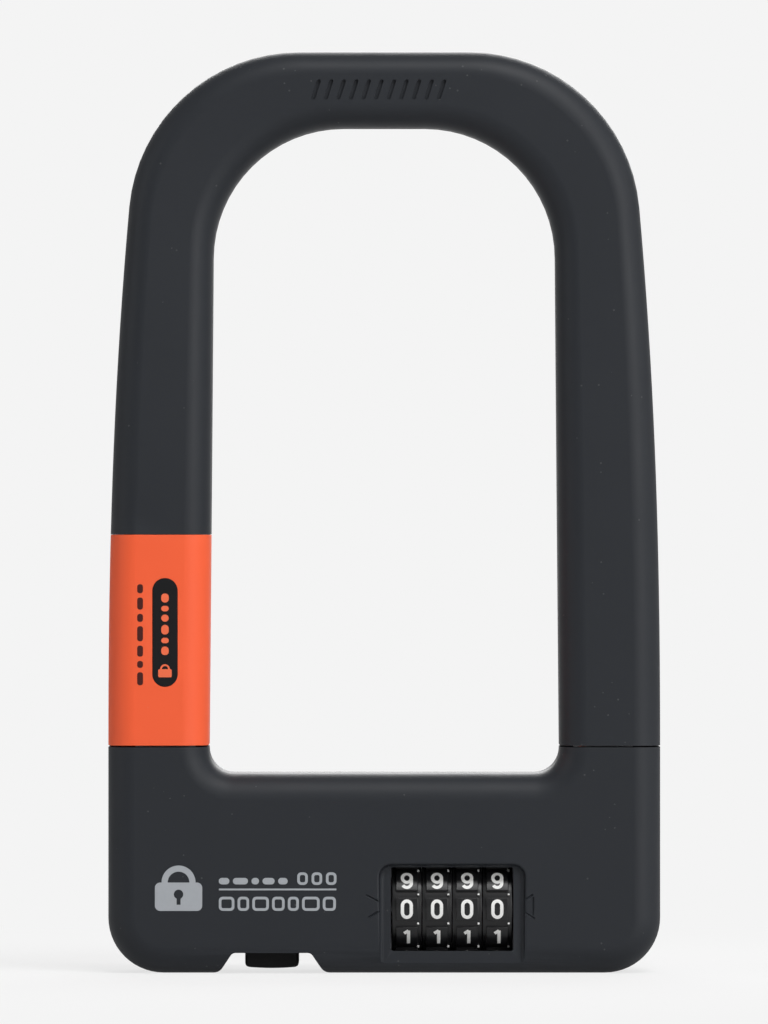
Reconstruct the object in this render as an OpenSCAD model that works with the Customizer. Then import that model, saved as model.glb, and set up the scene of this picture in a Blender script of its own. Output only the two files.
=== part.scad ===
// Combination U lock: a silicone-covered steel shackle that drops into a crossbar body
// with four number dials. Pressing the button below spreads two bolts into the legs.
// Stands upright: +Z up, front towards -Y, origin at the middle of the base.

/* [Shackle] */
// Clear width between the legs at the crossbar
opening_w = 70; // [60:1:110]
// Clear height above the crossbar
opening_h = 128.8; // [100:1:220]
// Width of a covered leg where it meets the body
leg_w = 20; // [19:0.5:28]
// Height of the covered bar over the opening
top_w = 15.1; // [14.8:0.1:24]
// Depth of the covered bar at the top, front to back
top_depth = 18; // [16:0.5:24]
// How far each leg's outer side curves in towards the top
leg_bow = 4.1; // [0:0.1:5]
// How far each leg's inner side leans in towards the top
leg_lean = 0.85; // [0:0.05:2]
// Radius of the opening's top corners
inner_corner_r = 26; // [18:1:29]
// Radius of the outer top corners
outer_corner_r = 34; // [26:1:38]
// Diameter of the hardened steel bar
bar_d = 12; // [9:0.5:13]
// Length of leg inside the body
insertion = 33; // [28:1:38]

/* [Orange sleeve] */
// Height of the orange band above the body
accent_h = 42.3; // [30:1:70]
// Width of the black inlay
badge_w = 5; // [3:0.5:8]
// Height of the black inlay
badge_h = 21.6; // [12:0.5:28]

/* [Body] */
// Height of the crossbar
body_h = 39.7; // [38:0.1:50]
// Height of the collars round the legs, above the crossbar
collar_h = 5.3; // [5.2:0.1:12]
// Radius of the bottom corners, seen from the front
corner_r = 11; // [6:0.5:14]
// Radius of the fillets below the opening
saddle_r = 5; // [2:0.5:5]
// Radius of the rolled front and back edges
edge_r = 5.5; // [3:0.5:6]
// Thickness of the silicone skin
skin = 1.8; // [1.6:0.1:2.6]
// Wall of the metal case
case_wall = 2.4; // [2:0.1:3]

/* [Dials] */
// Diameter of a number dial
dial_d = 19.4; // [17:0.1:23]
// Distance from one dial to the next
dial_pitch = 6; // [5.6:0.1:6.6]
// Middle of the row of dials, from the middle of the body
dial_x = 13.5; // [10:0.5:16]
// Depth of the scoop round the dials
scoop_depth = 1.2; // [0.6:0.1:1.4]

/* [Lock] */
// Travel of the button and of the bolts
travel = 3; // [2:0.1:3.2]
// Middle of the button, from the middle of the body
button_x = -22.4; // [-23:0.1:-21]
// Width of the button
button_w = 10.7; // [9:0.1:12]
// Depth of the button, front to back
button_depth = 11; // [8:0.5:14]
// Thickness of the bolts
bolt_h = 4; // [3:0.1:4.2]

/* [Hidden] */
$fn = 64;
eps = 0.01;

// clearances
seam = 0.3;          // between the shackle's cover and the body
run = 0.08;          // radial, on a shaft in its bearing
free = 0.3;          // between pieces that pass without touching
seat = 0.05;         // round a fixed piece in its seat
far = 400;

// outline of the body and the shackle
half_open = opening_w / 2;
half_w = half_open + leg_w;
seam_z = body_h + collar_h;
top_in_z = body_h + opening_h;
top_out_z = top_in_z + top_w;
accent_top = seam_z + accent_h;

// dials, from the front face to the back plate
dial_r = dial_d / 2;
dial_count = 4;
dial_recess = 0.6;
detent_space = 1.4;
detent_t = 0.5;
body_depth = dial_recess + dial_d + detent_space + case_wall + skin;
front_y = -body_depth / 2;
dial_y = front_y + dial_recess + dial_r;
plate_y = dial_y + dial_r + detent_space;
wall_y = front_y + skin + case_wall;
floor_t = 1;
dial_z = skin + floor_t + free + dial_r;
dial_w = dial_pitch - 0.4;
sleeve_w = dial_pitch - 0.2;
row_w = dial_pitch * (dial_count - 1) + dial_w;
dials_x = [for (i = [0 : dial_count - 1]) dial_x + (i - (dial_count - 1) / 2) * dial_pitch];
digit_count = 10;
bump_up = dial_r * sin(180 / digit_count);
bump_r = norm([dial_r + detent_space, bump_up]) - dial_r - free;
window_w = row_w + 0.8;
window_h = 0.86 * dial_d;
cage_t = 0.8;
rib_t = 2.4;
rib_left = dial_x - row_w / 2 - free - rib_t;
rib_right = dial_x + row_w / 2 + free;
chamber_top = dial_z + dial_r + 0.4;

// bolts above the dials
rail_t = 1.4;
rail_gap = 0.15;
rail_reach = 3.3;
bolt_z = chamber_top + rail_t + rail_gap + bolt_h / 2;
bolt_half = 5;
tip_r = bolt_h / 2;
case_top = body_h - skin;
case_ceiling = case_top - case_wall;
case_steps = [0, 0.6, case_wall + 0.1];

// steel bar and its sockets
bar_r = bar_d / 2;
leg_x = half_open + leg_w / 2 - (leg_bow + leg_lean) / 4;
bar_top_z = top_in_z + top_w / 2;
bend_r = (inner_corner_r + outer_corner_r) / 2;
leg_tip_z = seam_z - insertion;
notch_h = 2 * tip_r + 1.2;
notch_depth = travel;
socket_r = bar_r + free;
bush_r = bar_r + run + 1.1;
bush_bottom = bolt_z + notch_h / 2 + 1;
block_x = leg_x - bush_r - 1.1;
tip_x = leg_x - bar_r - free;

// spindle and sleeves on the dial axis
spindle_r = 2;
fin_r = 3.45;
fin_t = 1.2;
fin_w = 1.2;
sleeve_r = 5.2;
sleeve_bore = fin_r + 0.35;
flange_t = fin_t;

// button, yoke and wedge
notch_roof = 4.1;
notch_w = 21;
notch_roof_w = 15.6;
notch_skin = 1.2;
button_tip_z = notch_roof - travel - free;
button_floor = notch_roof + notch_skin + 1.8;
flange_h = 1.2;
yoke_bottom = button_floor + 0.1 + flange_h;
yoke_t = 1.2;
arm_in = 5;
arm_out = 7;
yoke_half = 3;
wedge_top = bolt_z + bolt_h / 2 + 0.4;
wedge_apex = wedge_top + 1.2;
wedge_bottom = bolt_z - bolt_h / 2 - travel - free;
wedge_half = wedge_apex - wedge_bottom;
wedge_gap = 0.15;
head_t = 1.5;
post_h = 2;
post_bottom = wedge_bottom - head_t - post_h - free;
link_t = 2;
link_x = button_x + wedge_half + 0.5;
clip_t = 0.6;
spring_wire = 0.5;
coil_r = tip_r + 0.6;
left_spring_l = 5.5;
shoulder_l = 5;

// screws through the back plate
screw_r = 1.2;
screw_head_r = 2.2;
screw_head_h = 1.2;
boss_r = 2.6;
screw_low_z = edge_r + screw_head_r + 0.2;
screw_top_z = case_top - (edge_r - skin) - screw_head_r - 0.2;
// the upper bosses reach the front wall, or hang behind a bolt that would meet them
boss_front = screw_top_z - boss_r > bolt_z + coil_r + seat ? wall_y - eps : bolt_half + free;
screw_len = min(7, plate_y - boss_front);
boss_x = block_x - boss_r + 0.6;
screw_spots = [[leg_x, screw_low_z], [-leg_x, screw_low_z], [boss_x, screw_top_z],
    [-boss_x, screw_top_z], [0, screw_top_z]];

// points of an arc about (cx, cy), from one angle to another
function arc(cx, cy, r, from, to, n = 8) =
    [for (i = [0 : n]) let (a = from + (to - from) * i / n) [cx + r * cos(a), cy + r * sin(a)]];

// front outline of the body, shrunk by inset and running on upwards past the seam
function body_outline(inset) = let (top = seam_z + 2 * edge_r) concat(
    arc(half_w - corner_r, corner_r, corner_r - inset, -90, 0),
    [[half_w - inset, top], [inset - half_w, top]],
    arc(corner_r - half_w, corner_r, corner_r - inset, 180, 270));

// outline of the opening's lower end, grown by the same inset
function saddle_outline(inset) = let (top = seam_z + 4 * edge_r) concat(
    arc(half_open - saddle_r, body_h + saddle_r, saddle_r + inset, -90, 0),
    [[half_open + inset, top], [-half_open - inset, top]],
    arc(saddle_r - half_open, body_h + saddle_r, saddle_r + inset, 180, 270));

// rounded rectangle about the middle, for a cross-section
function round_box(hw, hd, r, n = 6) = concat(
    arc(hw - r, hd - r, r, 0, 90, n), arc(r - hw, hd - r, r, 90, 180, n),
    arc(r - hw, r - hd, r, 180, 270, n), arc(hw - r, r - hd, r, 270, 360, n));

// closed solid through a list of rings that all have the same number of points
module loft(rings) {
    n = len(rings[0]);
    last = len(rings) - 1;
    sides = [for (k = [0 : last - 1]) for (i = [0 : n - 1]) let (j = (i + 1) % n)
        [k * n + i, k * n + j, (k + 1) * n + j, (k + 1) * n + i]];
    polyhedron([for (ring = rings) each ring],
        concat([[for (i = [n - 1 : -1 : 0]) i], [for (i = [0 : n - 1]) last * n + i]], sides));
}

// body solid with rolled edges
module body_solid(steps = 6) {
    half = body_depth / 2;
    front = [for (i = [0 : steps]) let (a = 90 * i / steps)
        [edge_r * (1 - sin(a)), -half + edge_r * (1 - cos(a))]];
    back = [for (i = [steps : -1 : 0]) [front[i][0], -front[i][1]]];
    layers = concat(front, back);
    difference() {
        loft([for (layer = layers) [for (p = body_outline(layer[0])) [p[0], layer[1], p[1]]]]);
        loft([for (layer = concat([[edge_r, -half - 1]], layers, [[edge_r, half + 1]]))
            [for (p = saddle_outline(layer[0])) [p[0], layer[1], p[1]]]]);
    }
}

// the two sides of the covered shackle at station t: 0 at the body, 1 at the corner's start
bow_power = 2.3;
foot_z = seam_z + seam;
bow_angle = atan(bow_power * leg_bow / (top_out_z - outer_corner_r - foot_z));
in_corner_z = top_in_z - inner_corner_r;
out_corner_z = top_out_z - outer_corner_r * (1 - sin(bow_angle));
function leg_side(t) = [
    [half_open - leg_lean * t, foot_z + (in_corner_z - foot_z) * t],
    [half_w - leg_bow * pow(t, bow_power), foot_z + (out_corner_z - foot_z) * t]];
function corner_side(a) = let (b = bow_angle + (90 - bow_angle) * a / 90) [
    [half_open - leg_lean - inner_corner_r * (1 - cos(a)), top_in_z - inner_corner_r * (1 - sin(a))],
    [half_w - leg_bow - outer_corner_r * (cos(bow_angle) - cos(b)), top_out_z - outer_corner_r * (1 - sin(b))]];
function cover_depth(z) = let (s = max(0, (z - accent_top) / (top_out_z - accent_top)))
    body_depth - (body_depth - top_depth) * s * s * (3 - 2 * s);
right_sides = concat([for (t = [0 : 0.125 : 1]) leg_side(t)], [for (a = [10 : 10 : 90]) corner_side(a)]);
left_sides = [for (i = [len(right_sides) - 1 : -1 : 0]) [for (p = right_sides[i]) [-p[0], p[1]]]];

// one cross-section of the covered shackle, from its inner and outer point
function section(inner, outer) =
    let (mid = (inner + outer) / 2, span = norm(outer - inner), u = (outer - inner) / span,
        depth = cover_depth(mid[1]))
    [for (p = round_box(span / 2, depth / 2, edge_r))
        [mid[0] + u[0] * p[0], -p[1], mid[1] + u[1] * p[0]]];

module shackle_solid() loft([for (s = concat(right_sides, left_sides)) section(s[0], s[1])]);

// steel bar's path: two legs, two bends and the top
module bar_path(r, foot_z) {
    bend_z = bar_top_z - bend_r;
    for (side = [-1, 1]) translate([side * leg_x, 0, foot_z]) cylinder(r = r, h = bend_z - foot_z);
    translate([leg_x - bend_r, 0, bend_z]) rotate([90, 0, 0]) rotate_extrude(angle = 90)
        translate([bend_r, 0]) circle(r);
    translate([bend_r - leg_x, 0, bend_z]) rotate([90, 0, 0]) rotate([0, 0, 90])
        rotate_extrude(angle = 90) translate([bend_r, 0]) circle(r);
    translate([bend_r - leg_x, 0, bar_top_z]) rotate([0, 90, 0]) cylinder(r = r, h = 2 * (leg_x - bend_r));
}

// block between two corners
module box(low, high) translate(low) cube(high - low);

// cylinder along X from x0 to x1
module rod_x(x0, x1, r, y, z) translate([x0, y, z]) rotate([0, 90, 0]) cylinder(r = r, h = x1 - x0);

// helical spring from z = 0 to z = h, wound about Z
module coil(r, h, turns, steps = 14) loft([for (i = [0 : turns * steps]) let (a = 360 * i / steps)
    [for (p = arc(0, 0, spring_wire / 2, 0, 300, 5))
        [(r + p[0]) * cos(a), (r + p[0]) * sin(a),
            spring_wire / 2 + p[1] + (h - spring_wire) * i / (turns * steps)]]]);

// prism through the body below the button
module button_notch(grow = 0) translate([button_x, 0, 0]) rotate([90, 0, 0]) linear_extrude(far, center = true)
    polygon([[-notch_w / 2 - grow, -eps], [notch_w / 2 + grow, -eps],
        [notch_roof_w / 2 + grow, notch_roof + grow], [-notch_roof_w / 2 - grow, notch_roof + grow]]);

module button_block(grow, z0, z1)
    box([button_x - button_w / 2 - grow, -button_depth / 2 - grow, z0],
        [button_x + button_w / 2 + grow, button_depth / 2 + grow, z1]);

module body_cover() color([0.18, 0.2, 0.22]) difference() {
    intersection() {
        body_solid();
        box([-far, -far, -far], [far, far, seam_z]);
    }
    case_solid(seat);
    for (side = [-1, 1]) translate([side * leg_x, 0, case_top - 1])
        cylinder(r = bush_r + seat, h = far);
    button_notch();
    button_block(free, -1, notch_roof + notch_skin + 1);
    // scoop round the dials, open at the bottom
    box([dial_x - window_w / 2 - 2.4, -far, -1],
        [dial_x + window_w / 2 + 2.4, front_y + scoop_depth, dial_z + window_h / 2 + 0.8]);
    cage_hole();
}

// body of the case: slabs that step in towards the rolled edges of the skin
module case_solid(grow) difference() {
    for (step = case_steps) let (r = edge_r - skin, inset = skin + r - sqrt(r * r - (r - step) * (r - step)))
        rotate([90, 0, 0]) linear_extrude(body_depth - 2 * (skin + step - grow), center = true)
            case_outline(inset - grow, case_top + skin - inset + grow);
    button_notch(notch_skin - grow);
}

module case_outline(inset, top) {
    w = half_w - inset;
    r = corner_r - inset;
    translate([-w, inset + r]) square([2 * w, top - inset - r]);
    translate([r - w, inset]) square([2 * (w - r), r + eps]);
    for (side = [-1, 1]) translate([side * (w - r), inset + r]) circle(r);
}

module cage_hole() box([dial_x - window_w / 2 - cage_t - seat, -far, dial_z - window_h / 2 - cage_t - seat],
    [dial_x + window_w / 2 + cage_t + seat, wall_y, dial_z + window_h / 2 + cage_t + seat]);

module screw_holes(r, y0, y1) for (p = screw_spots)
    translate([p[0], y1, p[1]]) rotate([90, 0, 0]) cylinder(r = r, h = y1 - y0);

module case_front() color("gray") difference() {
    union() {
        difference() {
            intersection() {
                case_solid(0);
                box([-far, -far, -far], [far, plate_y, far]);
            }
            // room for the button's mechanism, the bolts and the right pocket
            box([-block_x, wall_y, button_floor], [rib_left, far, case_ceiling]);
            box([-block_x, wall_y, chamber_top + rail_t], [block_x, far, case_ceiling]);
            box([rib_right + rib_t, wall_y, skin + case_wall], [block_x, far, case_ceiling]);
            // dial chamber
            box([rib_left + rib_t, wall_y, skin + floor_t], [rib_right, far, case_ceiling]);
        }
        // rails that guide the bolts, and bosses for the screws
        for (z = [bolt_z - bolt_h / 2 - rail_gap - rail_t, bolt_z + bolt_h / 2 + rail_gap])
            box([-block_x - eps, wall_y - eps, z], [block_x + eps, -rail_reach, z + rail_t]);
        for (p = screw_spots) if (p[1] > case_ceiling / 2) {
            translate([p[0], plate_y, p[1]])
                rotate([90, 0, 0]) cylinder(r = boss_r, h = plate_y - boss_front);
            if (boss_front > 0) box([p[0] - boss_r, boss_front, p[1]],
                [p[0] + boss_r, plate_y, case_ceiling + eps]);
        }
    }
    for (side = [-1, 1]) translate([side * leg_x, 0, 0]) {
        translate([0, 0, leg_tip_z - 2]) cylinder(r = socket_r, h = far);
        translate([0, 0, bush_bottom]) cylinder(r = bush_r + seat, h = far);
    }
    rod_x(-leg_x, leg_x, tip_r + run, 0, bolt_z);
    rod_x(rib_left - 1, rib_right + rib_t + 1, spindle_r + run, dial_y, dial_z);
    cage_hole();
    button_block(rail_gap, 0, button_floor + 1);
    screw_holes(screw_r + seat, plate_y - screw_len, plate_y + 1);
}

module back_plate() color("silver") difference() {
    intersection() {
        case_solid(0);
        box([-far, plate_y, -far], [far, far, far]);
    }
    screw_holes(screw_r + seat, plate_y - 1, far);
    screw_holes(screw_head_r + seat, body_depth / 2 - skin - screw_head_h, far);
}

module case_screws() color("silver") for (p = screw_spots)
    translate([p[0], body_depth / 2 - skin, p[1]]) rotate([90, 0, 0]) difference() {
        union() {
            cylinder(r = screw_head_r, h = screw_head_h);
            cylinder(r = screw_r, h = case_wall + screw_len - 1);
        }
        translate([0, 0, -eps]) cylinder(r = 0.9, h = 0.8, $fn = 6);
    }

module leg_bushes() color("dimgray") for (side = [-1, 1]) translate([side * leg_x, 0, 0]) difference() {
    translate([0, 0, bush_bottom]) cylinder(r = bush_r, h = seam_z - free - bush_bottom);
    cylinder(r = bar_r + run, h = far);
}

module dial_cage() color("black") difference() {
    box([dial_x - window_w / 2 - cage_t, front_y + scoop_depth, dial_z - window_h / 2 - cage_t],
        [dial_x + window_w / 2 + cage_t, wall_y, dial_z + window_h / 2 + cage_t]);
    box([dial_x - window_w / 2, -far, dial_z - window_h / 2],
        [dial_x + window_w / 2, far, dial_z + window_h / 2]);
}

// leaf behind the dials with one bump for each, level with a groove
module detent_spring() color("silver") {
    difference() {
        box([dials_x[0] - dial_w / 2, plate_y - detent_t, dial_z - 6],
            [dials_x[3] + dial_w / 2, plate_y, chamber_top - 0.6]);
        for (i = [0 : dial_count - 2])
            box([dials_x[i] + dial_w / 2 - 0.2, -far, dial_z - 7],
                [dials_x[i + 1] - dial_w / 2 + 0.2, far, dial_z + 5]);
    }
    for (x = dials_x) difference() {
        rod_x(x - 1.5, x + 1.5, bump_r, plate_y, dial_z + bump_up);
        box([x - 2, plate_y - detent_t / 2, dial_z - dial_r], [x + 2, far, dial_z + dial_r]);
    }
}

module detent_rivets() color("gray") for (side = [-1, 1])
    translate([dial_x + side * dial_pitch, plate_y - detent_t, chamber_top - 2.2]) rotate([90, 0, 0])
        cylinder(r = 0.9, h = 0.5);

module spring_post() color("gray") {
    box([button_x - 3.5, wall_y, post_bottom], [button_x + 3.5, plate_y, post_bottom + post_h]);
    translate([button_x, 0, post_bottom - 1.5]) cylinder(r = 1, h = 1.5 + eps);
}

module shackle_core() color("lightgray") difference() {
    union() {
        bar_path(bar_r, leg_tip_z + 2);
        for (side = [-1, 1]) translate([side * leg_x, 0, leg_tip_z])
            cylinder(r1 = bar_r - 1.5, r2 = bar_r, h = 2);
    }
    for (side = [-1, 1]) box([side * (leg_x - bar_r) - notch_depth, -bar_r - 1, bolt_z - notch_h / 2],
        [side * (leg_x - bar_r) + notch_depth, bar_r + 1, bolt_z + notch_h / 2]);
}

module shackle_cover() color([0.18, 0.2, 0.22]) difference() {
    shackle_solid();
    bar_path(bar_r + seat, 0);
    box([-far, -far, 0], [0, far, accent_top + seat]);
}

module accent_sleeve() color([0.93, 0.4, 0.24]) difference() {
    intersection() {
        shackle_solid();
        box([-far, -far, 0], [0, far, accent_top]);
    }
    bar_path(bar_r + seat, 0);
    badge_shape(seat, 2);
}

badge_x = -half_w + leg_w / 2 + 1.4;
badge_t = 1;
module badge_shape(grow, t) translate([badge_x, front_y + badge_t, seam_z + accent_h * 0.54])
    rotate([90, 0, 0]) linear_extrude(t) {
        end = badge_h / 2 - badge_w / 2;
        square([badge_w + 2 * grow, 2 * end], center = true);
        for (side = [-1, 1]) translate([0, side * end]) circle(badge_w / 2 + grow);
    }
module sleeve_badge() color("black") badge_shape(0, badge_t);

// bar that runs over the dials into the right leg, with a sloped end on the wedge
module bolt_right() color("silver") difference() {
    union() {
        box([button_x, -bolt_half, bolt_z - bolt_h / 2],
            [block_x - shoulder_l, bolt_half, bolt_z + bolt_h / 2]);
        rod_x(block_x - shoulder_l, tip_x, tip_r, 0, bolt_z);
    }
    wedge_prism(wedge_gap);
    translate([link_x + link_t + 3, 0, 0]) cylinder(r = 1 + seat, h = far);
}

module bolt_left() color("silver") difference() {
    union() {
        box([left_spring_l - block_x, -bolt_half, bolt_z - bolt_h / 2],
            [button_x, bolt_half, bolt_z + bolt_h / 2]);
        rod_x(-tip_x, left_spring_l - block_x, tip_r, 0, bolt_z);
    }
    wedge_prism(wedge_gap);
}

// both slopes of the wedge at 45 degrees, moved out by gap
module wedge_prism(gap) translate([button_x, 0, 0]) rotate([90, 0, 0]) linear_extrude(far, center = true)
    polygon([[-wedge_half - gap, wedge_bottom], [wedge_half + gap, wedge_bottom], [0, wedge_apex + gap]]);

module link_arm() color("silver") difference() {
    union() {
        box([link_x, -2.6, dial_z], [link_x + link_t, 2.6, bolt_z - bolt_h / 2]);
        box([link_x, dial_y - 3.6, dial_z - 3.4], [link_x + link_t, 2.6, dial_z + 3.4]);
        box([link_x, -2.6, bolt_z - bolt_h / 2 - 1.4], [link_x + link_t + 5, 2.6, bolt_z - bolt_h / 2]);
    }
    rod_x(link_x - 1, link_x + link_t + 1, spindle_r + seat, dial_y, dial_z);
    translate([link_x + link_t + 3, 0, 0]) cylinder(r = 1 + seat, h = far);
}

module link_rivet() color("gray") translate([link_x + link_t + 3, 0, bolt_z - bolt_h / 2 - 1.4]) {
    cylinder(r = 1, h = bolt_h + 1.4);
    translate([0, 0, bolt_h + 1.4]) cylinder(r = 1.8, h = 0.7);
    translate([0, 0, -0.7]) cylinder(r = 1.8, h = 0.7);
}

// rod on the dial axis with one fin beside each sleeve's flange
module spindle() color("silver") {
    rod_x(link_x - 1.2, rib_right + rib_t + 1, spindle_r, dial_y, dial_z);
    for (x = dials_x) box([x - travel / 2 - fin_t / 2, dial_y - fin_w / 2, dial_z],
        [x - travel / 2 + fin_t / 2, dial_y + fin_w / 2, dial_z + fin_r]);
}

module spindle_clips() color("gray") for (x = [link_x - clip_t, link_x + link_t]) difference() {
    rod_x(x, x + clip_t, spindle_r + 1.4, dial_y, dial_z);
    rod_x(x - 1, x + 1 + clip_t, spindle_r + seat, dial_y, dial_z);
}

module spindle_spring() color("silver") {
    start = link_x + link_t + clip_t;
    translate([start, dial_y, dial_z]) rotate([0, 90, 0]) coil(spindle_r + 0.9, rib_left - start, 6);
}

module left_bolt_spring() color("silver") translate([-block_x, 0, bolt_z]) rotate([0, 90, 0])
    coil(coil_r, left_spring_l, 5);

module push_button() color("black") {
    button_block(0, button_tip_z, button_floor + 0.1);
    button_block(0.8, button_floor + 0.1, yoke_bottom);
}

module button_yoke() color("silver") difference() {
    union() {
        box([button_x - arm_out, -yoke_half, yoke_bottom], [button_x + arm_out, yoke_half, wedge_bottom]);
        intersection() {
            wedge_prism(0);
            box([-far, -yoke_half, wedge_bottom - eps], [far, yoke_half, wedge_top]);
        }
    }
    box([button_x - arm_in, -far, yoke_bottom + yoke_t], [button_x + arm_in, far, wedge_bottom - head_t]);
}

module button_spring() color("silver") translate([button_x, 0, yoke_bottom + yoke_t])
    coil(1.7, post_bottom - yoke_bottom - yoke_t, 6);

// number dial: a ring with a groove between one digit's pad and the next
module dial(i) color("black") difference() {
    rod_x(dials_x[i] - dial_w / 2, dials_x[i] + dial_w / 2, dial_r, dial_y, dial_z);
    rod_x(dials_x[i] - dial_w, dials_x[i] + dial_w, sleeve_r + seat, dial_y, dial_z);
    for (k = [0 : digit_count - 1]) translate([dials_x[i], dial_y, dial_z])
        rotate([k * 360 / digit_count, 0, 0]) translate([0, 0, dial_r + 0.6])
            rotate([0, 90, 0]) cylinder(r = 1.3, h = 2 * dial_w, center = true);
}

// clutch sleeve: a tube with an inner flange, slotted for the spindle's fin
module sleeve(i) color("goldenrod") difference() {
    rod_x(dials_x[i] - sleeve_w / 2, dials_x[i] + sleeve_w / 2, sleeve_r, dial_y, dial_z);
    rod_x(dials_x[i] - sleeve_w, dials_x[i] - flange_t / 2, sleeve_bore, dial_y, dial_z);
    rod_x(dials_x[i] + flange_t / 2, dials_x[i] + sleeve_w, sleeve_bore, dial_y, dial_z);
    rod_x(dials_x[i] - sleeve_w, dials_x[i] + sleeve_w, spindle_r + run, dial_y, dial_z);
    box([dials_x[i] - flange_t, dial_y - fin_w / 2 - 0.2, dial_z],
        [dials_x[i] + flange_t, dial_y + fin_w / 2 + 0.2, dial_z + sleeve_bore - eps]);
}

body_cover();
case_front();
back_plate();
case_screws();
leg_bushes();
dial_cage();
detent_spring();
detent_rivets();
spring_post();
shackle_core();
shackle_cover();
accent_sleeve();
sleeve_badge();
bolt_right();
link_arm();
link_rivet();
spindle();
spindle_clips();
spindle_spring();
bolt_left();
left_bolt_spring();
push_button();
button_yoke();
button_spring();
dial(0);  // dial_1
dial(1);  // dial_2
dial(2);  // dial_3
dial(3);  // dial_4
sleeve(0);  // sleeve_1
sleeve(1);  // sleeve_2
sleeve(2);  // sleeve_3
sleeve(3);  // sleeve_4
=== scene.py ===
import math
import bmesh
import bpy
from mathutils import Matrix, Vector


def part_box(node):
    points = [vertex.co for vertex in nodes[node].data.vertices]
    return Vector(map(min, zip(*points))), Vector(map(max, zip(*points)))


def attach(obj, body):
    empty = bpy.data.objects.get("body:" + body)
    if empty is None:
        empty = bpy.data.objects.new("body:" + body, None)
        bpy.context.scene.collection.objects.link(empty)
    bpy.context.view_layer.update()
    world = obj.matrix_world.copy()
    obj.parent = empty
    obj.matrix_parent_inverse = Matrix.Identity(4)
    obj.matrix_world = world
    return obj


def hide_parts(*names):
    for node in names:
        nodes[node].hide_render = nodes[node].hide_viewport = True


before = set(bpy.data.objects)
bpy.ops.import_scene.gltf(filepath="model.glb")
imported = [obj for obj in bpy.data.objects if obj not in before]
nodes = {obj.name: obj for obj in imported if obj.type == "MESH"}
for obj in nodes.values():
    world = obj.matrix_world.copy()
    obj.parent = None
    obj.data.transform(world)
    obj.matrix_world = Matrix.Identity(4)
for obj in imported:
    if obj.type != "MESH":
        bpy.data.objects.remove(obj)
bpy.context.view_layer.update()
mm = 0.001


def deselectAll():
    if bpy.context.object and bpy.context.object.mode == "EDIT":
        bpy.ops.object.mode_set(mode="OBJECT")
    bpy.ops.object.select_all(action="DESELECT")


def pick(piece):
    deselectAll()
    piece.select_set(True)
    bpy.context.view_layer.objects.active = piece


def named(name):
    piece = bpy.context.object
    piece.name = name
    piece.data.name = name
    return piece


def addBlock(name, low, high):
    deselectAll()
    low, high = Vector(low), Vector(high)
    bpy.ops.mesh.primitive_cube_add(size=1, location=(low + high) / 2)
    piece = named(name)
    piece.scale = high - low
    bpy.ops.object.transform_apply(location=True, rotation=True, scale=True)
    return piece


def addRod(name, radius, start, end, sides=64):
    # a cylinder from one point to another
    deselectAll()
    start, end = Vector(start), Vector(end)
    turn = (end - start).to_track_quat("Z", "Y").to_euler()
    bpy.ops.mesh.primitive_cylinder_add(
        vertices=sides, radius=radius, depth=(end - start).length,
        location=(start + end) / 2, rotation=turn)
    piece = named(name)
    bpy.ops.object.transform_apply(location=True, rotation=True, scale=True)
    return piece


def applyModifier(piece, kind, **values):
    pick(piece)
    modifier = piece.modifiers.new(kind, kind)
    for key, value in values.items():
        setattr(modifier, key, value)
    bpy.ops.object.modifier_apply(modifier=modifier.name)


def cut(piece, cutter, operation="DIFFERENCE"):
    applyModifier(piece, "BOOLEAN", operation=operation, object=cutter, solver="MANIFOLD")
    bpy.data.objects.remove(cutter)


def at(value, place):
    # whether two measures are the same edge or face
    return abs(value - place) < 0.01 * mm


def alongY(mid, way):
    return abs(way.y) > 0.99


def alongZ(mid, way):
    return abs(way.z) > 0.99


def bevelWhere(piece, offset, segments, test):
    # rounds the edges that pass the test, which sees an edge's middle and direction
    pick(piece)
    bpy.ops.object.mode_set(mode="EDIT")
    bpy.ops.mesh.select_mode(type="EDGE")
    bpy.ops.mesh.select_all(action="DESELECT")
    shape = bmesh.from_edit_mesh(piece.data)
    for edge in shape.edges:
        a, b = edge.verts[0].co, edge.verts[1].co
        if test((a + b) / 2, (b - a).normalized()):
            edge.select_set(True)
    bmesh.update_edit_mesh(piece.data)
    bpy.ops.mesh.bevel(offset=offset, segments=segments, clamp_overlap=False)
    bpy.ops.mesh.select_all(action="SELECT")
    bpy.ops.mesh.remove_doubles(threshold=0.002 * mm)
    bpy.ops.mesh.dissolve_degenerate(threshold=0.002 * mm)
    bpy.ops.object.mode_set(mode="OBJECT")


def sliceOff(piece, height, keepBelow):
    # cuts the piece level at a height and closes the cut
    pick(piece)
    bpy.ops.object.mode_set(mode="EDIT")
    bpy.ops.mesh.select_all(action="SELECT")
    bpy.ops.mesh.bisect(
        plane_co=(0, 0, height), plane_no=(0, 0, 1), use_fill=True,
        clear_outer=keepBelow, clear_inner=not keepBelow)
    bpy.ops.object.mode_set(mode="OBJECT")


def softenEdges(piece, width, segments=3, angle=38):
    applyModifier(
        piece, "BEVEL", width=width, segments=segments, limit_method="ANGLE",
        angle_limit=math.radians(angle), use_clamp_overlap=True, harden_normals=False)


def finishShading(piece, angle=35):
    pick(piece)
    bpy.ops.object.shade_smooth_by_angle(angle=math.radians(angle))
    applyModifier(piece, "WEIGHTED_NORMAL", keep_sharp=True, weight=80)


def copyOf(piece, name):
    twin = piece.copy()
    twin.data = piece.data.copy()
    twin.name = name
    twin.data.name = name
    bpy.context.scene.collection.objects.link(twin)
    return twin


def faceOutwards(piece):
    pick(piece)
    bpy.ops.object.mode_set(mode="EDIT")
    bpy.ops.mesh.select_all(action="SELECT")
    bpy.ops.mesh.normals_make_consistent(inside=False)
    bpy.ops.object.mode_set(mode="OBJECT")


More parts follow.
